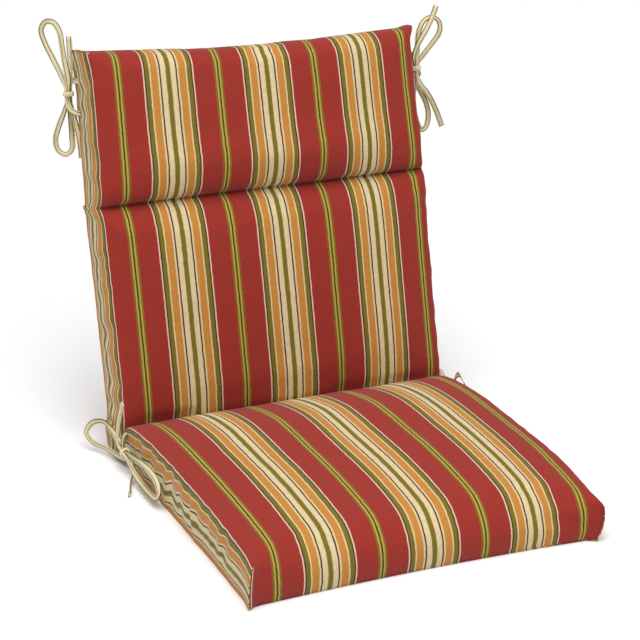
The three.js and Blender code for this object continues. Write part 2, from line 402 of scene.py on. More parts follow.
def get_points(obj):
    co = np.zeros(len(obj.data.vertices) * 3)
    obj.data.vertices.foreach_get("co", co)
    return co.reshape(-1, 3)


def loop_vertices(mesh):
    """The vertex that each loop starts from."""
    index = np.zeros(len(mesh.loops), int)
    mesh.loops.foreach_get("vertex_index", index)
    return index


def set_cloth_map(mesh, uv):
    """Write the mesh's one UV map: U across the stripes, V along them, in metres of cloth."""
    layer = mesh.uv_layers[0] if mesh.uv_layers else mesh.uv_layers.new(name=CLOTH_MAP)
    layer.name = CLOTH_MAP
    layer.data.foreach_set("uv", np.asarray(uv, float).ravel())


def off_floor(points, gap):
    """The same points, none lower than the gap above the floor."""
    return np.maximum(points, (-np.inf, -np.inf, gap))


def select_only(obj):
    bpy.ops.object.select_all(action="DESELECT")
    obj.select_set(True)
    bpy.context.view_layer.objects.active = obj


def grid_block(name, cells):
    """A unit cube cut into a grid of cells, and the place of each vertex in it from 0 to 1."""
    bpy.ops.object.select_all(action="DESELECT")
    bpy.ops.mesh.primitive_cube_add(size=1.0, location=(0, 0, 0))
    block = bpy.context.object
    block.name = block.data.name = name
    bpy.ops.object.mode_set(mode="EDIT")
    bpy.ops.mesh.select_mode(type="EDGE")
    for axis, count in enumerate(cells):
        bpy.ops.mesh.select_all(action="DESELECT")
        mesh = bmesh.from_edit_mesh(block.data)
        for edge in mesh.edges:
            run = edge.verts[1].co - edge.verts[0].co
            edge.select_set(abs(run[axis]) > 0.99 * run.length)
        bmesh.update_edit_mesh(block.data)
        bpy.ops.mesh.subdivide(number_cuts=count - 1)
    bpy.ops.object.mode_set(mode="OBJECT")
    return block, get_points(block) + 0.5


def lay_out_cloth(block, place, length, height, taken_up=0.0):
    """Map the cloth on a block. The face panel wraps over the sides."""
    mesh = block.data
    loops = loop_vertices(mesh)
    uv = np.zeros((len(loops), 2))
    for face in mesh.polygons:
        span = range(face.loop_start, face.loop_start + face.loop_total)
        p = place[loops[list(span)]]
        across, along, through = p[:, 0] * WIDTH, p[:, 1] * length, p[:, 2] * height
        normal = face.normal
        if abs(normal.x) > 0.5:
            u = -through if normal.x < 0 else WIDTH + through
            v = along
        elif abs(normal.y) > 0.5:
            # the end wall's cloth starts a little outside the edge of the face
            u = across - 0.005 * np.exp(-across / 0.010)
            v = (length + through) if normal.y > 0 else -through
        else:
            u, v = across, along
        # where a sewn corner takes up cloth, the stripes crowd towards it
        u = u + taken_up * smoothstep(u, 0.36, WIDTH)
        uv[list(span), 0], uv[list(span), 1] = u, v
    set_cloth_map(mesh, uv)


CLOTH_SETTINGS = {
    "quality": 5, "mass": 0.3, "air_damping": 3.0, "bending_stiffness": 0.8, "shear_stiffness": 6,
    "tension_stiffness": 18, "compression_stiffness": 18, "use_pressure": True,
    "uniform_pressure_force": 4.0, "vertex_group_mass": "held", "pin_stiffness": 1.0,
    "vertex_group_shrink": "ease", "shrink_min": 0.0, "shrink_max": -0.05,
}
FRAMES = 20


def inflate(obj, held, ease, swell):
    """Cloth simulation: the block swells like a filled cover. held and ease are weights from 0 to 1:
    held points stay, and where ease is high the cloth has length to spare and puckers."""
    start = get_points(obj)
    scene = bpy.context.scene
    groups = {}
    for name, weights in (("held", held), ("ease", ease)):
        groups[name] = obj.vertex_groups.new(name=name)
        for level in np.unique(np.round(weights, 1)):
            members = np.flatnonzero(np.round(weights, 1) == level)
            groups[name].add(members.tolist(), float(level), "REPLACE")
    cloth = obj.modifiers.new("Cloth", "CLOTH")
    settings = cloth.settings
    for key, value in CLOTH_SETTINGS.items():
        setattr(settings, key, value)
    settings.effector_weights.gravity = 0.0
    cloth.collision_settings.use_collision = False
    cloth.point_cache.frame_start = 1
    cloth.point_cache.frame_end = FRAMES
    for step in range(1, FRAMES + 1):
        scene.frame_set(step)
    move = get_points(obj.evaluated_get(bpy.context.evaluated_depsgraph_get())) - start
    reach = np.linalg.norm(move, axis=1, keepdims=True)
    move *= np.minimum(1, swell / np.maximum(reach, 1e-9))
    obj.modifiers.remove(cloth)
    for group in groups.values():
        obj.vertex_groups.remove(group)
    scene.frame_set(1)
    set_points(obj, start + move)


def smooth_block(obj):
    """One level of subdivision, applied, with smooth shading."""
    select_only(obj)
    level = obj.modifiers.new("Smooth", "SUBSURF")
    level.levels = level.render_levels = 1
    bpy.ops.object.modifier_apply(modifier=level.name)
    bpy.ops.object.shade_smooth()


class Pad:
    """The grid of one padded section: across, along and through run from 0 to 1.
    through is 0 at the face and 1 at the rear or the underside."""

    def __init__(self, name, length, seed, taken_up):
        shape = self.shape = bpy.context.scene.cushion_shape
        self.length = length
        self.seed = seed
        cells = [round(size / shape.cell) for size in (WIDTH, length, shape.edge_height)]
        self.obj, self.place = grid_block(name, cells)
        # the cube's top is the face
        self.place[:, 2] = 1 - self.place[:, 2]
        lay_out_cloth(self.obj, self.place, length, shape.edge_height, taken_up)
        self.a = self.place[:, 0] * 2 - 1
        self.q = self.place[:, 1]
        self.c = self.place[:, 2]
        self.on_side = np.abs(self.a) > 0.999

    def crowning(self):
        """From 0 at the edges to 1 over the middle."""
        b = self.q * 2 - 1
        return (1 - np.abs(self.a) ** 3.2) * (1 - np.abs(b) ** 3.2)

    def puckers(self, calm_start=0.02):
        """How far each point of the side walls goes outwards, and along the wall's height."""
        s = self.q * self.length
        side = np.sign(self.a) * 0.3
        lean = np.sign(wander(np.stack([s, side, s * 0], 1), 0.13, self.seed))
        slant = 0.5 * (self.c - 0.5) * self.shape.pucker_length * lean
        wave = np.stack([s + slant, side, self.c * 0.014], 1)
        swell = wander(wave, self.shape.pucker_length * 0.5, self.seed + 2)
        pinch = 1 - 2.4 * np.abs(wander(wave, self.shape.pucker_length * 0.8, self.seed + 3))
        middle = (4 * self.c * (1 - self.c)) ** 0.7
        fade = smoothstep(s, 0.0, calm_start) * smoothstep(self.length - s, 0.0, 0.025)
        # the waves die away from the wall over the first row of cells
        near = smoothstep(np.abs(self.a), 0.97, 1.0)
        reach = self.shape.pucker_depth * (0.18 + 0.82 * middle) * near * fade
        sideways = wander(wave + 5.0, self.shape.pucker_length * 0.6, self.seed + 4)
        return reach * (1.1 * swell - 0.7 * np.maximum(pinch, 0)), reach * 1.7 * sideways * (self.c > 0)

    def lumps(self):
        """The fill is never quite even."""
        key = np.stack([self.a * WIDTH / 2, self.q * self.length, self.c * 0.5], 1)
        return 0.0016 * wander(key, 0.12, self.seed + 8) + 0.0007 * wander(key, 0.045, self.seed + 9)

    def width_at(self, out, spare=0.0035, rear_spread=0.0):
        """X of each point: the walls are drawn in between the corners and bulge at mid-height.
        The simulation draws them in too, so there is some width to spare."""
        b = self.q * 2 - 1
        half = WIDTH / 2 + spare + rear_spread * self.c
        edge = np.abs(self.a) ** 8
        pull = self.shape.side_pull * (1 - b**2) * edge
        bulge = 0.0035 * 4 * self.c * (1 - self.c) * edge
        return np.sign(self.a) * (np.abs(self.a) * half - pull + bulge + out)

    def end(self, which):
        """Weight 1 on the end wall at that place along the pad."""
        return (np.abs(self.q - which) < ON_EDGE).astype(float)

    def row(self, a=None, q=None, c=None):
        """The points of one edge, in order, as an index array."""
        want = np.ones(len(self.place), bool)
        for values, value in zip(self.place.T, (a, q, c)):
            if value is None:
                free = values
            else:
                want &= np.abs(values - value) < ON_EDGE
        index = np.flatnonzero(want)
        return index[np.argsort(free[index])]


def shape_seat(pad):
    """The seat lies flat. Along runs from the front to the fold."""
    shape = pad.shape
    out, sideways = pad.puckers(calm_start=0.11)
    x = pad.width_at(out, 0.0005)
    b = pad.q * 2 - 1
    x += 0.004 * (1 - np.abs(b) ** 3) * smoothstep(pad.a, 0.0, 1.0)
    fuller_left = 1 + 0.55 * smoothstep(pad.a, 0.0, 1.0)
    rise = shape.edge_rise * fuller_left * (1 - np.abs(b) ** 2.6) + 0.004 * smoothstep(pad.q, 0.5, 0.9)
    thick = shape.edge_height + rise + shape.crown * pad.crowning()
    depth = FOLD.y - 0.001 - SEAT_FRONT
    y = SEAT_FRONT + pad.q * depth
    front = (1 - pad.q) ** 10
    y += front * shape.front_pull * (1 - pad.a**2)
    y -= front * 0.004 * 4 * pad.c * (1 - pad.c)
    # small ears at the two front corners
    corner = smoothstep(np.abs(pad.a), 0.965, 1.0) * smoothstep(1 - pad.q, 0.965, 1.0)
    x += np.sign(pad.a) * 0.004 * corner
    y -= 0.008 * corner
    # the underside is a little smaller than the face, so the walls lean in towards it
    under = pad.c**1.5
    y += 0.004 * under * smoothstep(1 - pad.q, 0.9, 1.0)
    at_front = under * smoothstep(np.abs(pad.a), 0.9, 1.0) * smoothstep(1 - pad.q, 0.6, 1.0)
    x -= (0.004 + 0.003 * np.sign(pad.a)) * at_front
    z = thick * (1 - pad.c) + (sideways + pad.lumps() * (1 - pad.c)) * (pad.c < 0.999)
    # the front rolls over softly from the face, and the rear dips into the fold
    roll = (1 - pad.c) ** 2
    z -= roll * 0.011 * smoothstep(1 - pad.q, 0.95, 1.0) * (1 - np.abs(pad.a) ** 14)
    z -= roll * 0.005 * smoothstep(pad.q, 0.95, 1.0)
    return off_floor(np.stack([x, y, z], 1), 0.0012)


def across_crease(pad, near, reach, crown, bumps, sideways):
    """Depth behind the face, for a section that ends at the crease. On the face the two rolls meet
    in a narrow valley, and on the rear they part in a wide one, which closes as the headrest folds."""
    to_wall = smoothstep(np.abs(pad.a) * WIDTH / 2, WIDTH / 2 - 0.026, WIDTH / 2 - 0.002)
    roll = 1 - np.sqrt(np.clip(1 - (1 - np.clip(near / reach, 0, 1)) ** 2, 0, 1))
    valley = 1 - np.sin(np.clip(near / 0.042, 0, 1) * math.pi / 2) ** 0.7
    face = 0.0005 - crown + 0.026 * roll * (1 - 0.30 * to_wall) - bumps
    rear = BACK_THICKNESS - 0.0005 + crown - 0.031 * valley * (1 - 0.6 * to_wall) + bumps
    return face + pad.c * (rear - face) + sideways


def crease_nip(pad, distance):
    """How far the side cloth is nipped outwards where the crease meets the wall."""
    wall = smoothstep(np.abs(pad.a), 0.97, 1.0) * smoothstep(pad.c, 0.1, 0.6)
    return 0.006 * np.exp(-((distance / 0.007) ** 2)) * wall


def beyond_crease(pad):
    """Past the sewn line the two sections press into each other a little."""
    return 0.0014 + 0.0006 * smoothstep(np.abs(pad.a), 0.93, 1.0)


def gathers(pad, distance):
    """Small dents along a sewn line, on the face and the rear."""
    key = np.stack([pad.a * WIDTH / 2, distance * 0.4, pad.c * 0.2], 1)
    return 0.0022 * np.exp(-distance / 0.018) * wander(key, 0.016, pad.seed + 11)


def stand_up(x, height, depth):
    """Points of the leaning back: height above the fold along its face, depth behind its face."""
    y = FOLD.y + height * UP_BACK.y + depth * OUT_BACK.y
    z = FOLD.z + height * UP_BACK.z + depth * OUT_BACK.z
    return np.stack([x, y, z], 1)


LOWER_END = 0.066


def shape_back(pad):
    """The back. Along runs from its lower end, behind the seat, up to the crease."""
    shape = pad.shape
    out, sideways = pad.puckers()
    x = pad.width_at(out, 0.0055, 0.005) + 0.002
    height = -LOWER_END + pad.q * pad.length
    height = np.minimum(height, CREASE_HEIGHT - 0.0006)
    near = CREASE_HEIGHT - 0.0006 - height
    height += beyond_crease(pad) * (near < 0.001)
    crown = 0.75 * shape.crown * pad.crowning()
    bumps = pad.lumps() + gathers(pad, near)
    depth = across_crease(pad, near, 0.022, crown, bumps, sideways)
    height += 0.001 * (near / 0.009) * np.exp(1 - near / 0.009)
    x += np.sign(pad.a) * crease_nip(pad, near)
    points = stand_up(x, height, depth)
    # below the fold the face hangs against the seat, and the rear bulges down to the floor
    low = height < 0
    drop = np.clip(-height / LOWER_END, 0, 1)
    face_y, face_z = FOLD.y + 0.0015, FOLD.z - 0.006 - drop * (FOLD.z - 0.012)
    rear = stand_up(x * 0, x * 0, x * 0 + BACK_THICKNESS)
    rear_y = rear[:, 1] - drop * 0.006 + 0.009 * np.sin(math.pi * np.minimum(drop * 1.1, 1))
    rear_z = rear[:, 2] - drop * (rear[:, 2] - 0.006)
    y_low = face_y + (rear_y - face_y) * pad.c
    z_low = face_z + (rear_z - face_z) * pad.c
    ease = smoothstep(-height, 0.0, 0.018)
    points[:, 1] = np.where(low, points[:, 1] * (1 - ease) + y_low * ease, points[:, 1])
    points[:, 2] = np.where(low, points[:, 2] * (1 - ease) + z_low * ease, points[:, 2])
    return off_floor(points, 0.003)


def shape_headrest(pad):
    """The headrest. Along runs from the crease to the top, where the face cloth goes over."""
    shape = pad.shape
    out, sideways = pad.puckers()
    x = pad.width_at(out, 0.0055, 0.005) * (1 - 0.016 * pad.q) + 0.002
    height = CREASE_HEIGHT + 0.0006 + pad.q * (TOP_HEIGHT - CREASE_HEIGHT)
    near = height - CREASE_HEIGHT - 0.0006
    height -= beyond_crease(pad) * (near < 0.001)
    crown = 0.75 * shape.crown * pad.crowning()
    # it is fullest on its face a little above the crease
    crown += 0.006 * np.exp(-(((near - 0.045) / 0.032) ** 2)) * (1 - np.abs(pad.a) ** 8)
    bumps = pad.lumps() + gathers(pad, near)
    depth = across_crease(pad, near, 0.034, crown, bumps, sideways)
    # the filled headrest hangs over the crease a little
    height -= 0.009 * np.exp(-(((near - 0.015) / 0.013) ** 2))
    middle = BACK_THICKNESS / 2
    top = smoothstep(pad.q, 0.90, 1.0)
    depth = middle + (depth - middle) * (1 - 0.12 * top * (1 - np.abs(pad.a) ** 8))
    # the top sags a little between its corners, and bulges over
    height += top * (0.004 - 0.002 * (1 - pad.a**2) - 0.0055 * (1 + pad.a))
    height += top * 0.004 * 4 * pad.c * (1 - pad.c)
    corner = smoothstep(np.abs(pad.a), 0.955, 1.0) * smoothstep(pad.q, 0.92, 1.0)
    x += np.sign(pad.a) * 0.005 * corner
    height += 0.004 * corner
    x += np.sign(pad.a) * crease_nip(pad, near)
    return stand_up(x, height, depth)


def fill_pad(pad, points, held_ends):
    """Shape a section and inflate it. The sewn edges keep their line, and the cloth between swells."""
    set_points(pad.obj, points)
    edge = pad.on_side & ((pad.c < 0.001) | (pad.c > 0.999))
    held = np.maximum(held_ends, 0.6 * edge)
    inflate(pad.obj, held, pad.on_side.astype(float), pad.shape.swell)
    pad.points = get_points(pad.obj)


def finish_pad(pad, nodes):
    """Smooth a section, dress it in its cloth, and hide the CAD nodes it stands for."""
    set_points(pad.obj, pad.points)
    # the sewn corners and the seam round the rear stay crisp when the cloth is smoothed
    ends = [pad.end(0) > 0, pad.end(1) > 0]
    rear_seam = (pad.c > 0.999) & (pad.on_side | ends[0] | ends[1])
    corners = [pad.on_side & end for end in ends]
    sewn = [set(np.flatnonzero(line)) for line in (*corners, rear_seam)]
    crisp = pad.obj.data.attributes.new("crease_edge", "FLOAT", "EDGE")
    for edge in pad.obj.data.edges:
        if any(edge.vertices[0] in line and edge.vertices[1] in line for line in sewn):
            crisp.data[edge.index].value = 0.75
    smooth_block(pad.obj)
    # subdivision keeps the first vertices in their order, so the seams can follow them
    pad.points = get_points(pad.obj)[: len(pad.place)]
    dress(pad.obj, "striped")
    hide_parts(*nodes)


def seam(name, pad, rows, thickness=0.0009, finish="striped"):
    """A thin rolled seam along rows of a pad's points, in the stripes that meet there."""
    index = np.concatenate(rows)
    line = pad.points[index]
    keep = np.r_[True, np.linalg.norm(np.diff(line, axis=0), axis=1) > 1e-4]
    index, line = index[keep], line[keep]
    bpy.ops.object.select_all(action="DESELECT")
    bpy.ops.curve.primitive_bezier_curve_add(location=(0, 0, 0))
    obj = bpy.context.object
    obj.name = obj.data.name = name
    curve = obj.data
    curve.splines.clear()
    spline = curve.splines.new("POLY")
    spline.points.add(len(line) - 1)
    spline.points.foreach_set("co", np.c_[line, np.ones(len(line))].ravel())
    curve.bevel_depth = thickness
    curve.bevel_resolution = 2
    curve.use_fill_caps = True
    bpy.ops.object.convert(target="MESH")
    bpy.ops.object.shade_smooth()
    set_points(obj, off_floor(get_points(obj), ABOVE_FLOOR))
    mesh = obj.data
    while mesh.uv_layers:
        mesh.uv_layers.remove(mesh.uv_layers[0])
    nearest = np.argmin(((get_points(obj)[:, None] - line[None]) ** 2).sum(2), axis=1)
    wall = np.where(pad.a[index] < -0.99, -1, np.where(pad.a[index] > 0.99, 1, 0))
    height = pad.c[index] * pad.shape.edge_height
    across = pad.place[index, 0] * WIDTH + wall * height
    uv = np.stack([across, pad.q[index] * pad.length], 1)
    set_cloth_map(mesh, uv[nearest[loop_vertices(mesh)]])
    dress(obj, finish)
    return obj


# ---- ties

STRAP_THICKNESS = 0.0017
# shares of the cloth's width that a strap keeps: in its knot, and in its loops, where it curls in
GATHERED = 0.36
LOOSE = 0.78
# Routes in millimetres, as in the CAD model: x, y from the fold line, z from the floor. For each bow:
# its body, the middle of its knot, the way the knot points, the way the flat of the straps faces,
# and the routes of its two straps.
BOWS = {
    "tie_top_right_side": ("headrest", (-268, 177, 521), (0, 0, 1), (-0.5, -0.8, 0.2), (
        ((-255.6, 158, 494), (-260, 158, 495), (-268, 164, 499), (-271.4, 174, 506), (-271.4, 177, 514),
         (-271.4, 177, 528), (-275, 184, 546), (-284, 196, 572), (-293, 205, 596), (-296, 208, 613),
         (-290, 202, 625), (-281, 193, 624), (-275, 187, 611), (-273, 184, 590), (-271, 180, 566),
         (-268.5, 175, 544), (-268, 173.6, 528), (-268, 173.6, 514), (-265, 170, 498), (-261, 167, 474),
         (-258.5, 162, 450), (-258, 157, 428)),
        ((-255.6, 166, 540), (-259.5, 171, 541), (-262, 182, 541), (-268, 183, 536), (-268, 180.4, 528),
         (-268, 180.4, 514), (-273, 186, 492), (-280, 193, 470), (-285, 197, 447), (-282, 194, 432),
         (-273, 186, 427), (-265, 180, 436), (-264, 181, 455), (-264.5, 182, 478), (-265, 181, 497),
         (-264.6, 177, 514), (-264.6, 177, 528), (-264, 175.5, 556), (-264, 176, 583),
         (-264, 177, 606)),
    )),
    "tie_top_left_side": ("headrest", (276, 138, 515), (0, 0, 1), (-0.2, -0.95, 0.2), (
        ((255.6, 160, 490), (262, 160, 491), (273, 157, 495), (283, 150, 500), (284, 142, 505),
         (280.5, 138, 512), (279.4, 138, 522), (289, 139, 535), (304, 140, 551), (316, 140, 568),
         (315, 140, 584), (302, 139, 593), (288, 139, 588), (280, 138, 574), (277, 137, 553),
         (276, 134.6, 537), (276, 134.6, 522), (276, 134.6, 508), (281, 133, 491), (294, 133, 474),
         (308, 133, 448), (319, 133, 420)),
        ((255.6, 168, 530), (260, 164, 533), (268, 155, 535), (276, 145, 533), (276, 141.4, 522),
         (276, 141.4, 508), (278, 142, 492), (287, 144, 476), (297, 144, 456), (301, 144, 436),
         (296, 143, 418), (288, 142, 415), (281, 141, 428), (276, 141, 447), (273, 140, 470),
         (272.6, 138, 492), (272.6, 138, 508), (272.6, 138, 522), (269, 131, 538), (274, 127, 556),
         (286, 127, 575), (296, 128, 592), (305, 130, 612)),
    )),
    "tie_low_right_side": ("seat", (-266, -28, 32), (0, 1, 0), (-0.9, -0.3, 0.4), (
        ((-255.6, -6, 52), (-259, -7, 50), (-264, -13, 43), (-266, -22, 35.4), (-266, -34, 35.4),
         (-265, -61, 38), (-264, -100, 43), (-264, -135, 45), (-264, -162, 41), (-266, -176, 31),
         (-267, -168, 19), (-267, -146, 14), (-267, -97, 14), (-268, -60, 22), (-269.4, -34, 31),
         (-269.4, -22, 32), (-272, -11, 41), (-270, -9, 62), (-267, -12, 84), (-264, -18, 106)),
        ((-255.6, -16, 14), (-259, -10, 12), (-266, 14, 12), (-274, 42, 13), (-287, 66, 17),
         (-292, 75, 28), (-284, 70, 44), (-273, 50, 52), (-268, 24, 47), (-265, 0, 39),
         (-262.6, -21, 32), (-262.6, -35, 32), (-261, -45, 23), (-264, -57, 11), (-274, -75, 5),
         (-281, -92, 3.5), (-289, -113, 3.5)),
    )),
    "tie_low_left_side": ("seat", (266, -28, 32), (0, 1, 0), (0.8, -0.4, 0.45), (
        ((255.6, -6, 52), (259, -7, 50), (264, -13, 43), (266, -22, 35.4), (266, -34, 35.4),
         (266, -44, 46), (267, -62, 54), (268, -90, 54), (268, -122, 46), (268, -142, 34),
         (268, -140, 21), (268, -118, 15), (268, -84, 16), (269, -56, 23), (269.4, -34, 31),
         (269.4, -22, 32), (273, -13, 42), (275, -18, 58), (274, -34, 72), (273, -56, 64)),
        ((255.6, -16, 14), (259, -10, 12), (266, 14, 12), (272, 42, 14), (280, 62, 24), (280, 62, 40),
         (274, 46, 54), (269, 22, 60), (268, 9, 52), (266, -3, 41), (263, -14, 34), (262.6, -24, 32),
         (262.6, -35, 32), (262, -45, 23), (264, -57, 11), (272, -75, 5), (278, -92, 3.5),
         (283, -112, 3.5)),
    )),
}


def between(start, end, t_start, t_end, t):
    return (t_end - t) / (t_end - t_start) * start + (t - t_start) / (t_end - t_start) * end


def smooth_route(points, spacing=0.004):
    """A centripetal spline through the points, resampled evenly: the same curve as in the CAD model."""
    points = np.array(points, float)
    first, last = 2 * points[0] - points[1], 2 * points[-1] - points[-2]
    knots = np.vstack([first, points, last])
    line = []
    for i in range(1, len(knots) - 2):
        p0, p1, p2, p3 = knots[i - 1 : i + 3]
        steps = [max(np.linalg.norm(b - a), 1e-9) ** 0.5 for a, b in ((p0, p1), (p1, p2), (p2, p3))]
        t0, t1, t2, t3 = np.cumsum([0] + steps)
        for s in np.linspace(t1, t2, 16, endpoint=False):
            a1, a2 = between(p0, p1, t0, t1, s), between(p1, p2, t1, t2, s)
            a3 = between(p2, p3, t2, t3, s)
            b1, b2 = between(a1, a2, t0, t2, s), between(a2, a3, t1, t3, s)
            line.append(between(b1, b2, t1, t2, s))
    line.append(points[-1])
    line = np.array(line)
    run = np.r_[0, np.cumsum(np.linalg.norm(np.diff(line, axis=0), axis=1))]
    at = np.linspace(0, run[-1], max(8, round(run[-1] / spacing)))
    return np.stack([np.interp(at, run, line[:, k]) for k in range(3)], 1), run[-1]


def strap_mesh(name, line, length, facing, knot, seed):
    """A flat strap swept along its line. It is gathered in the knot and twists a little on its way."""
    count = len(line)
    along = np.gradient(line, axis=0)
    along /= np.linalg.norm(along, axis=1, keepdims=True)
    place = np.linspace(0, 1, count)
    normal = np.tile(np.array(facing, float), (count, 1))
    normal /= np.linalg.norm(normal, axis=1, keepdims=True)
    normal -= (normal * along).sum(1, keepdims=True) * along
    # carry the flat side along smoothly where the strap points at the viewer
    for i in range(1, count):
        if np.linalg.norm(normal[i]) < 0.35 or normal[i] @ normal[i - 1] < 0:
            carried = normal[i - 1] - (normal[i - 1] @ along[i]) * along[i]
            normal[i] = carried / np.linalg.norm(carried)
    normal /= np.linalg.norm(normal, axis=1, keepdims=True)
    across = np.cross(along, normal)
    twist = 0.75 * np.sin(2 * math.pi * (place * 2.2 + seed * 0.37)) * np.sin(math.pi * place) ** 0.5
    turned = across * np.cos(twist)[:, None] + normal * np.sin(twist)[:, None]
    normal = normal * np.cos(twist)[:, None] - across * np.sin(twist)[:, None]
    across = turned
    gather = np.linalg.norm(line - np.array(knot), axis=1)
    width = STRAP_WIDTH / 2 * (GATHERED + (LOOSE - GATHERED) * smoothstep(gather, 0.007, 0.024))
    thick = STRAP_THICKNESS / 2 * (1.7 - 0.7 * smoothstep(gather, 0.007, 0.020))
    # the section: a flat strap, thicker at its two folded edges
    section = [
        (-1.0, 0.0), (-0.96, 0.9), (-0.7, 1.15), (-0.35, 0.8), (0.35, 0.8), (0.7, 1.15),
        (0.96, 0.9), (1.0, 0.0), (0.96, -0.9), (0.7, -1.15), (0.35, -0.8), (-0.35, -0.8),
        (-0.7, -1.15), (-0.96, -0.9),
    ]
    sides = len(section)
    points, faces, uvs = [], [], []
    for i in range(count):
        for u, w in section:
            points.append(line[i] + across[i] * width[i] * u + normal[i] * thick[i] * w)
    for i in range(count - 1):
        for k in range(sides):
            n = (k + 1) % sides
            faces.append((i * sides + k, (i + 1) * sides + k, (i + 1) * sides + n, i * sides + n))
            for row, col in ((i, k), (i + 1, k), (i + 1, n), (i, n)):
                u = (section[col][0] + 1) / 2 * STRAP_WIDTH
                uvs.append((u, place[row] * length))
    faces.append(tuple(range(sides)))
    faces.append(tuple((count - 1) * sides + k for k in range(sides))[::-1])
    for row in (0, count - 1):
        order = range(sides) if row == 0 else reversed(range(sides))
        uvs += [((section[k][0] + 1) / 2 * STRAP_WIDTH, place[row] * length) for k in order]
    mesh = bpy.data.meshes.new(name)
    mesh.from_pydata(off_floor(np.array(points), ABOVE_FLOOR).tolist(), [], faces)
    set_cloth_map(mesh, uvs)
    obj = bpy.data.objects.new(name, mesh)
    bpy.context.collection.objects.link(obj)
    select_only(obj)
    bpy.ops.object.mode_set(mode="EDIT")
    bpy.ops.mesh.select_all(action="SELECT")
    bpy.ops.mesh.normals_make_consistent(inside=False)
    bpy.ops.object.mode_set(mode="OBJECT")
    bpy.ops.object.shade_smooth()
    dress(obj, "strap")
    return obj


def knot_mesh(name, centre, along, seed):
    """The wrap of a knot: a plump band round the strands, squeezed and slightly askew."""
    turn = Vector((0, 0, 1)).rotation_difference(Vector(along)).to_euler()
    bpy.ops.object.select_all(action="DESELECT")
    bpy.ops.mesh.primitive_torus_add(
        location=(0, 0, 0), major_segments=32, minor_segments=14,
        major_radius=0.0055, minor_radius=0.0029,
    )
    knot = bpy.context.object
    knot.name = knot.data.name = name
    bpy.ops.object.mode_set(mode="EDIT")
    bpy.ops.mesh.select_all(action="SELECT")
    bpy.ops.transform.resize(value=(1.0, 0.86, 1.35))
    bpy.ops.transform.rotate(value=0.22, orient_axis="X", center_override=(0, 0, 0))
    bpy.ops.object.mode_set(mode="OBJECT")
    points = get_points(knot)
    folds = wander(points, 0.004, seed)
    outward = points / np.maximum(np.linalg.norm(points, axis=1, keepdims=True), 1e-6)
    points += outward * folds[:, None] * 0.0008
    set_points(knot, points @ np.array(turn.to_matrix()).T + np.array(centre))
    uv = np.zeros(len(knot.data.loops) * 2)
    knot.data.uv_layers[0].data.foreach_get("uv", uv)
    set_cloth_map(knot.data, uv.reshape(-1, 2)[:, ::-1] * (STRAP_WIDTH, 0.04))
    bpy.ops.object.shade_smooth()
    dress(knot, "strap")
    return knot


def from_fold(point):
    """A route's point, in millimetres from the fold line, in metres of the frame."""
    x, y, z = point
    return np.array([x * MM, FOLD.y + y * MM, z * MM])


# ---- operators


class CUSHION_OT_camera(bpy.types.Operator):
    """Place the camera"""

    bl_idname = "cushion.camera"
    bl_label = "Camera"

    def execute(self, context):
        stage = context.scene.cushion_stage
        camera = bpy.data.objects.new("camera", bpy.data.cameras.new("camera"))
        context.collection.objects.link(camera)
        camera.data.sensor_width = 36
        camera.data.lens = stage.lens
        level = math.cos(stage.elevation)
        away = Vector((
            math.sin(stage.azimuth) * level,
            -math.cos(stage.azimuth) * level,
            math.sin(stage.elevation),
        ))
        camera.location = Vector(stage.target) + away * stage.distance
        camera.rotation_euler = away.to_track_quat("Z", "Y").to_euler()
        context.scene.camera = camera
        return {"FINISHED"}


class CUSHION_OT_ties(bpy.types.Operator):
    """Make the eight tie straps and the four knots"""

    bl_idname = "cushion.ties"
    bl_label = "Ties"

    def execute(self, context):
        for number, (name, (body, middle, along, facing, routes)) in enumerate(BOWS.items()):
            centre = from_fold(middle)
            knot = knot_mesh(f"{name}_bow_knot", centre, along, number)
            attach(knot, body)
            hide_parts(f"{name}_knot")
            for i, points in enumerate(routes):
                line, length = smooth_route([from_fold(p) for p in points])
                piece = f"{name}_bow_strap_{i + 1}"
                strap = strap_mesh(piece, line, length, facing, centre, number * 2 + i)
                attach(strap, body)
                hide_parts(f"{name}_strap_{i + 1}")
        return {"FINISHED"}


class CUSHION_OT_seat(bpy.types.Operator):
    """Make the padded seat and its seams"""

    bl_idname = "cushion.seat"
    bl_label = "Seat"

    def execute(self, context):
        pad = Pad("seat_cover", FOLD.y - SEAT_FRONT, 1, taken_up=0.007)
        fill_pad(pad, shape_seat(pad), np.maximum(pad.end(1), pad.c > 0.999))
        pad.points[:, 1] = np.minimum(pad.points[:, 1], FOLD.y - 0.0008)
        pad.points = off_floor(pad.points, 0.0012)
        finish_pad(
            pad,
            ("seat_face_panel", "seat_underside_panel", "seat_fibre_fill"),
        )
        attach(pad.obj, "seat")
        rows = [pad.row(a=0, c=1)[::-1], pad.row(q=0, c=1), pad.row(a=1, c=1)]
        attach(seam("seat_edge_seam", pad, rows), "seat")
        stitches = seam("fold_seam_thread", pad, [pad.row(q=1, c=0)], thickness=0.0007, finish="thread")
        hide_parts("fold_stitching")
        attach(stitches, "seat")
        for side, a in (("right", 0), ("left", 1)):
            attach(seam(f"seat_front_corner_seam_{side}", pad, [pad.row(a=a, q=0)]), "seat")
        return {"FINISHED"}


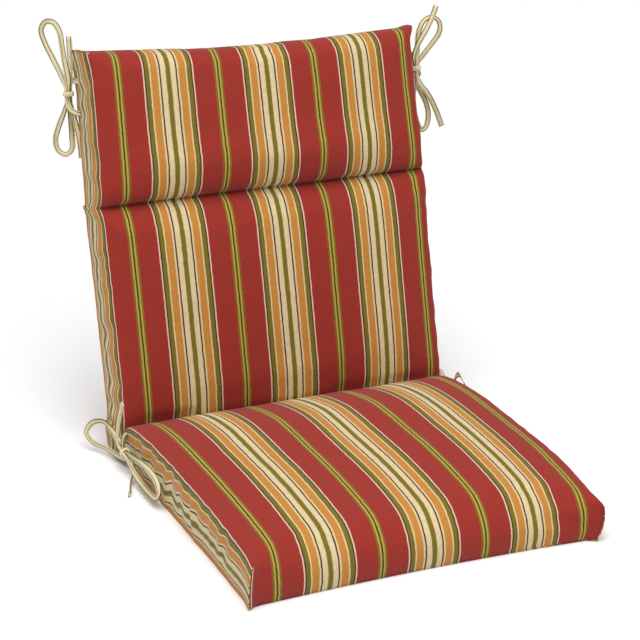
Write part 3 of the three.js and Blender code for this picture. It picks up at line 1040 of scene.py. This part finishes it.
class CUSHION_OT_back(bpy.types.Operator):
    """Make the padded back, with its lower end, and its seam"""

    bl_idname = "cushion.back"
    bl_label = "Back"

    def execute(self, context):
        pad = Pad("back_cover", LOWER_END + CREASE_HEIGHT, 2, taken_up=0.003)
        fill_pad(pad, shape_back(pad), np.maximum(pad.end(0), pad.end(1)))
        below = pad.points[:, 2] < FOLD.z - 0.006
        wall = FOLD.y + 0.0008
        pad.points[:, 1] = np.where(below, np.maximum(pad.points[:, 1], wall), pad.points[:, 1])
        pad.points = off_floor(pad.points, 0.0015)
        finish_pad(
            pad,
            ("back_face_panel", "back_rear_panel", "back_fibre_fill",
             "back_lower_cover", "back_lower_fill"),
        )
        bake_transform(pad.obj)
        for side, a in (("right", 0), ("left", 1)):
            edge = seam(f"back_edge_seam_{side}", pad, [pad.row(a=a, c=1)])
            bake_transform(edge)
        return {"FINISHED"}


class CUSHION_OT_headrest(bpy.types.Operator):
    """Make the padded headrest and its seams"""

    bl_idname = "cushion.headrest"
    bl_label = "Headrest"

    def execute(self, context):
        pad = Pad("headrest_cover", TOP_HEIGHT - CREASE_HEIGHT, 3, taken_up=0.003)
        fill_pad(pad, shape_headrest(pad), pad.end(0))
        finish_pad(
            pad,
            ("headrest_face_panel", "headrest_rear_panel", "headrest_fibre_fill"),
        )
        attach(pad.obj, "headrest")
        rows = [pad.row(a=0, c=1), pad.row(q=1, c=1), pad.row(a=1, c=1)[::-1]]
        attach(seam("headrest_edge_seam", pad, rows), "headrest")
        for side, a in (("right", 0), ("left", 1)):
            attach(seam(f"headrest_corner_seam_{side}", pad, [pad.row(a=a, q=1)]), "headrest")
        return {"FINISHED"}


class CUSHION_OT_sewing(bpy.types.Operator):
    """Give the sewn web and the lines of stitching their finishes"""

    bl_idname = "cushion.sewing"
    bl_label = "Sewing"

    def execute(self, context):
        # the crease web wears the dark seam cloth, which paints the crease's shade
        for node, finish in (("crease_web", "seam"), ("crease_stitching", "thread")):
            dress(bpy.data.objects[node], finish)
        return {"FINISHED"}


class CUSHION_OT_stage(bpy.types.Operator):
    """Lay a pale floor and light it softly"""

    bl_idname = "cushion.stage"
    bl_label = "Stage"

    def execute(self, context):
        stage = context.scene.cushion_stage
        bpy.ops.object.select_all(action="DESELECT")
        bpy.ops.mesh.primitive_plane_add(size=240, location=(0, 0, 0))
        floor = context.object
        floor.name = "floor"
        floor.data.materials.append(studio_floor())
        world = context.scene.world or bpy.data.worlds.new("studio")
        context.scene.world = world
        world.use_nodes = True
        sky = world.node_tree.nodes["Background"]
        sky.inputs["Color"].default_value = (1, 1, 1, 1)
        sky.inputs["Strength"].default_value = stage.daylight
        lamp = bpy.data.lights.new("overhead", "SUN")
        lamp.energy = stage.overhead
        lamp.angle = math.radians(58)
        overhead = bpy.data.objects.new("overhead", lamp)
        context.collection.objects.link(overhead)
        towards_light = Vector((-0.16, -0.26, 1.0))
        overhead.rotation_euler = towards_light.to_track_quat("Z", "Y").to_euler()
        box = bpy.data.lights.new("softbox", "AREA")
        box.energy = stage.softbox
        box.size = 0.6
        softbox = bpy.data.objects.new("softbox", box)
        context.collection.objects.link(softbox)
        softbox.location = (-0.2, -0.72, 1.35)
        towards_cushion = Vector((0.0, FOLD.y, CREASE.z)) - softbox.location
        softbox.rotation_euler = towards_cushion.to_track_quat("-Z", "Y").to_euler()
        context.scene.view_settings.view_transform = "Standard"
        return {"FINISHED"}


class CUSHION_PT_panel(bpy.types.Panel):
    """Buttons for every part of the cushion"""

    bl_idname = "CUSHION_PT_panel"
    bl_label = "Striped chair cushion"
    bl_space_type = "VIEW_3D"
    bl_region_type = "UI"
    bl_category = "Cushion"

    def draw(self, context):
        for operator in OPERATORS:
            self.layout.operator(operator.bl_idname)


OPERATORS = (
    CUSHION_OT_camera,
    CUSHION_OT_ties,
    CUSHION_OT_seat,
    CUSHION_OT_back,
    CUSHION_OT_headrest,
    CUSHION_OT_sewing,
    CUSHION_OT_stage,
)
GROUPS = {
    "cushion_shape": CushionShape, "cushion_colours": CushionColours, "cushion_stage": CushionStage,
}


def register():
    for cls in (*GROUPS.values(), *OPERATORS, CUSHION_PT_panel):
        bpy.utils.register_class(cls)
    for name, group in GROUPS.items():
        setattr(bpy.types.Scene, name, bpy.props.PointerProperty(type=group))


def unregister():
    for name in GROUPS:
        delattr(bpy.types.Scene, name)
    for cls in (CUSHION_PT_panel, *reversed(OPERATORS), *GROUPS.values()):
        bpy.utils.unregister_class(cls)


def main():
    register()
    for operator in OPERATORS:
        group, action = operator.bl_idname.split(".")
        getattr(getattr(bpy.ops, group), action)()


if __name__ == "__main__":
    main()
